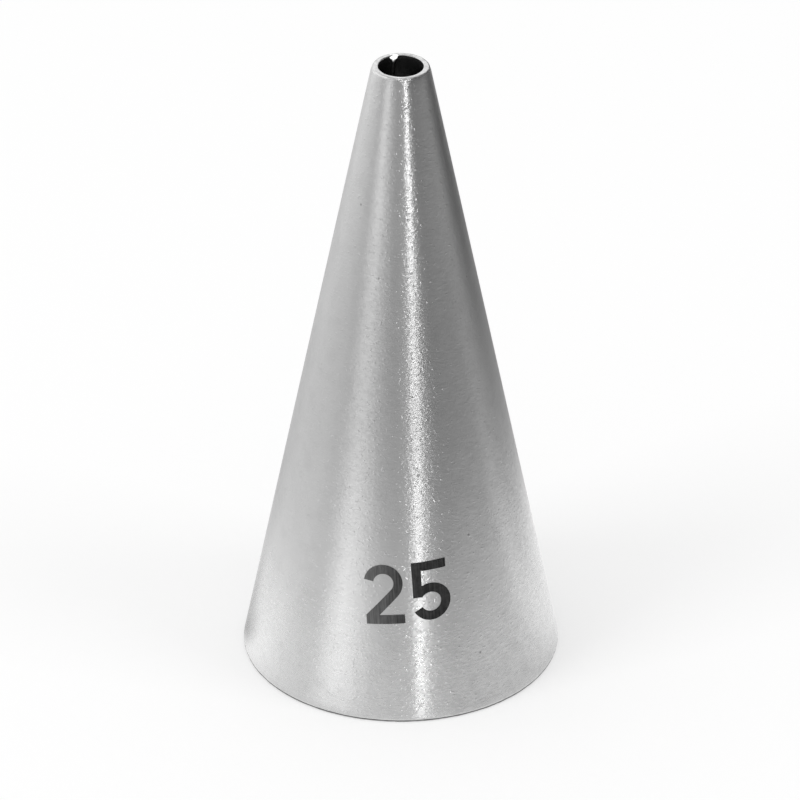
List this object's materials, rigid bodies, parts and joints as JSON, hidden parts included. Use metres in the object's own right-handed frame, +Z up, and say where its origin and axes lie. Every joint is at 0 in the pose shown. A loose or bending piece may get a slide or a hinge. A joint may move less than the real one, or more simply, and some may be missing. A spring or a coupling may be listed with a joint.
{
  "type": "piping nozzle",
  "caption": "Plain round piping nozzle: a tall seamed cone of thin steel, open at its wide base and at its small reamed tip.",
  "frame": {"origin": "centre of the base rim, on the plane that the nozzle stands on", "axes": "+Z up the cone from the base rim to the tip; -Y is the side with the size mark; +X to its right"},
  "size_m": [0.025, 0.025, 0.0515],
  "materials": {
    "brushed_steel": "stainless sheet, brushed round the cone, with a brighter lip",
    "weld_steel": "ground flush outside, left as welded inside",
    "laser_mark": "matt dark oxide left by a marking laser, in fine hatch lines"
  },
  "bodies": {
    "root": {"nozzle_cone": "brushed_steel", "seam_weld": "weld_steel", "size_mark": "laser_mark"}
  },
  "joints": []
}
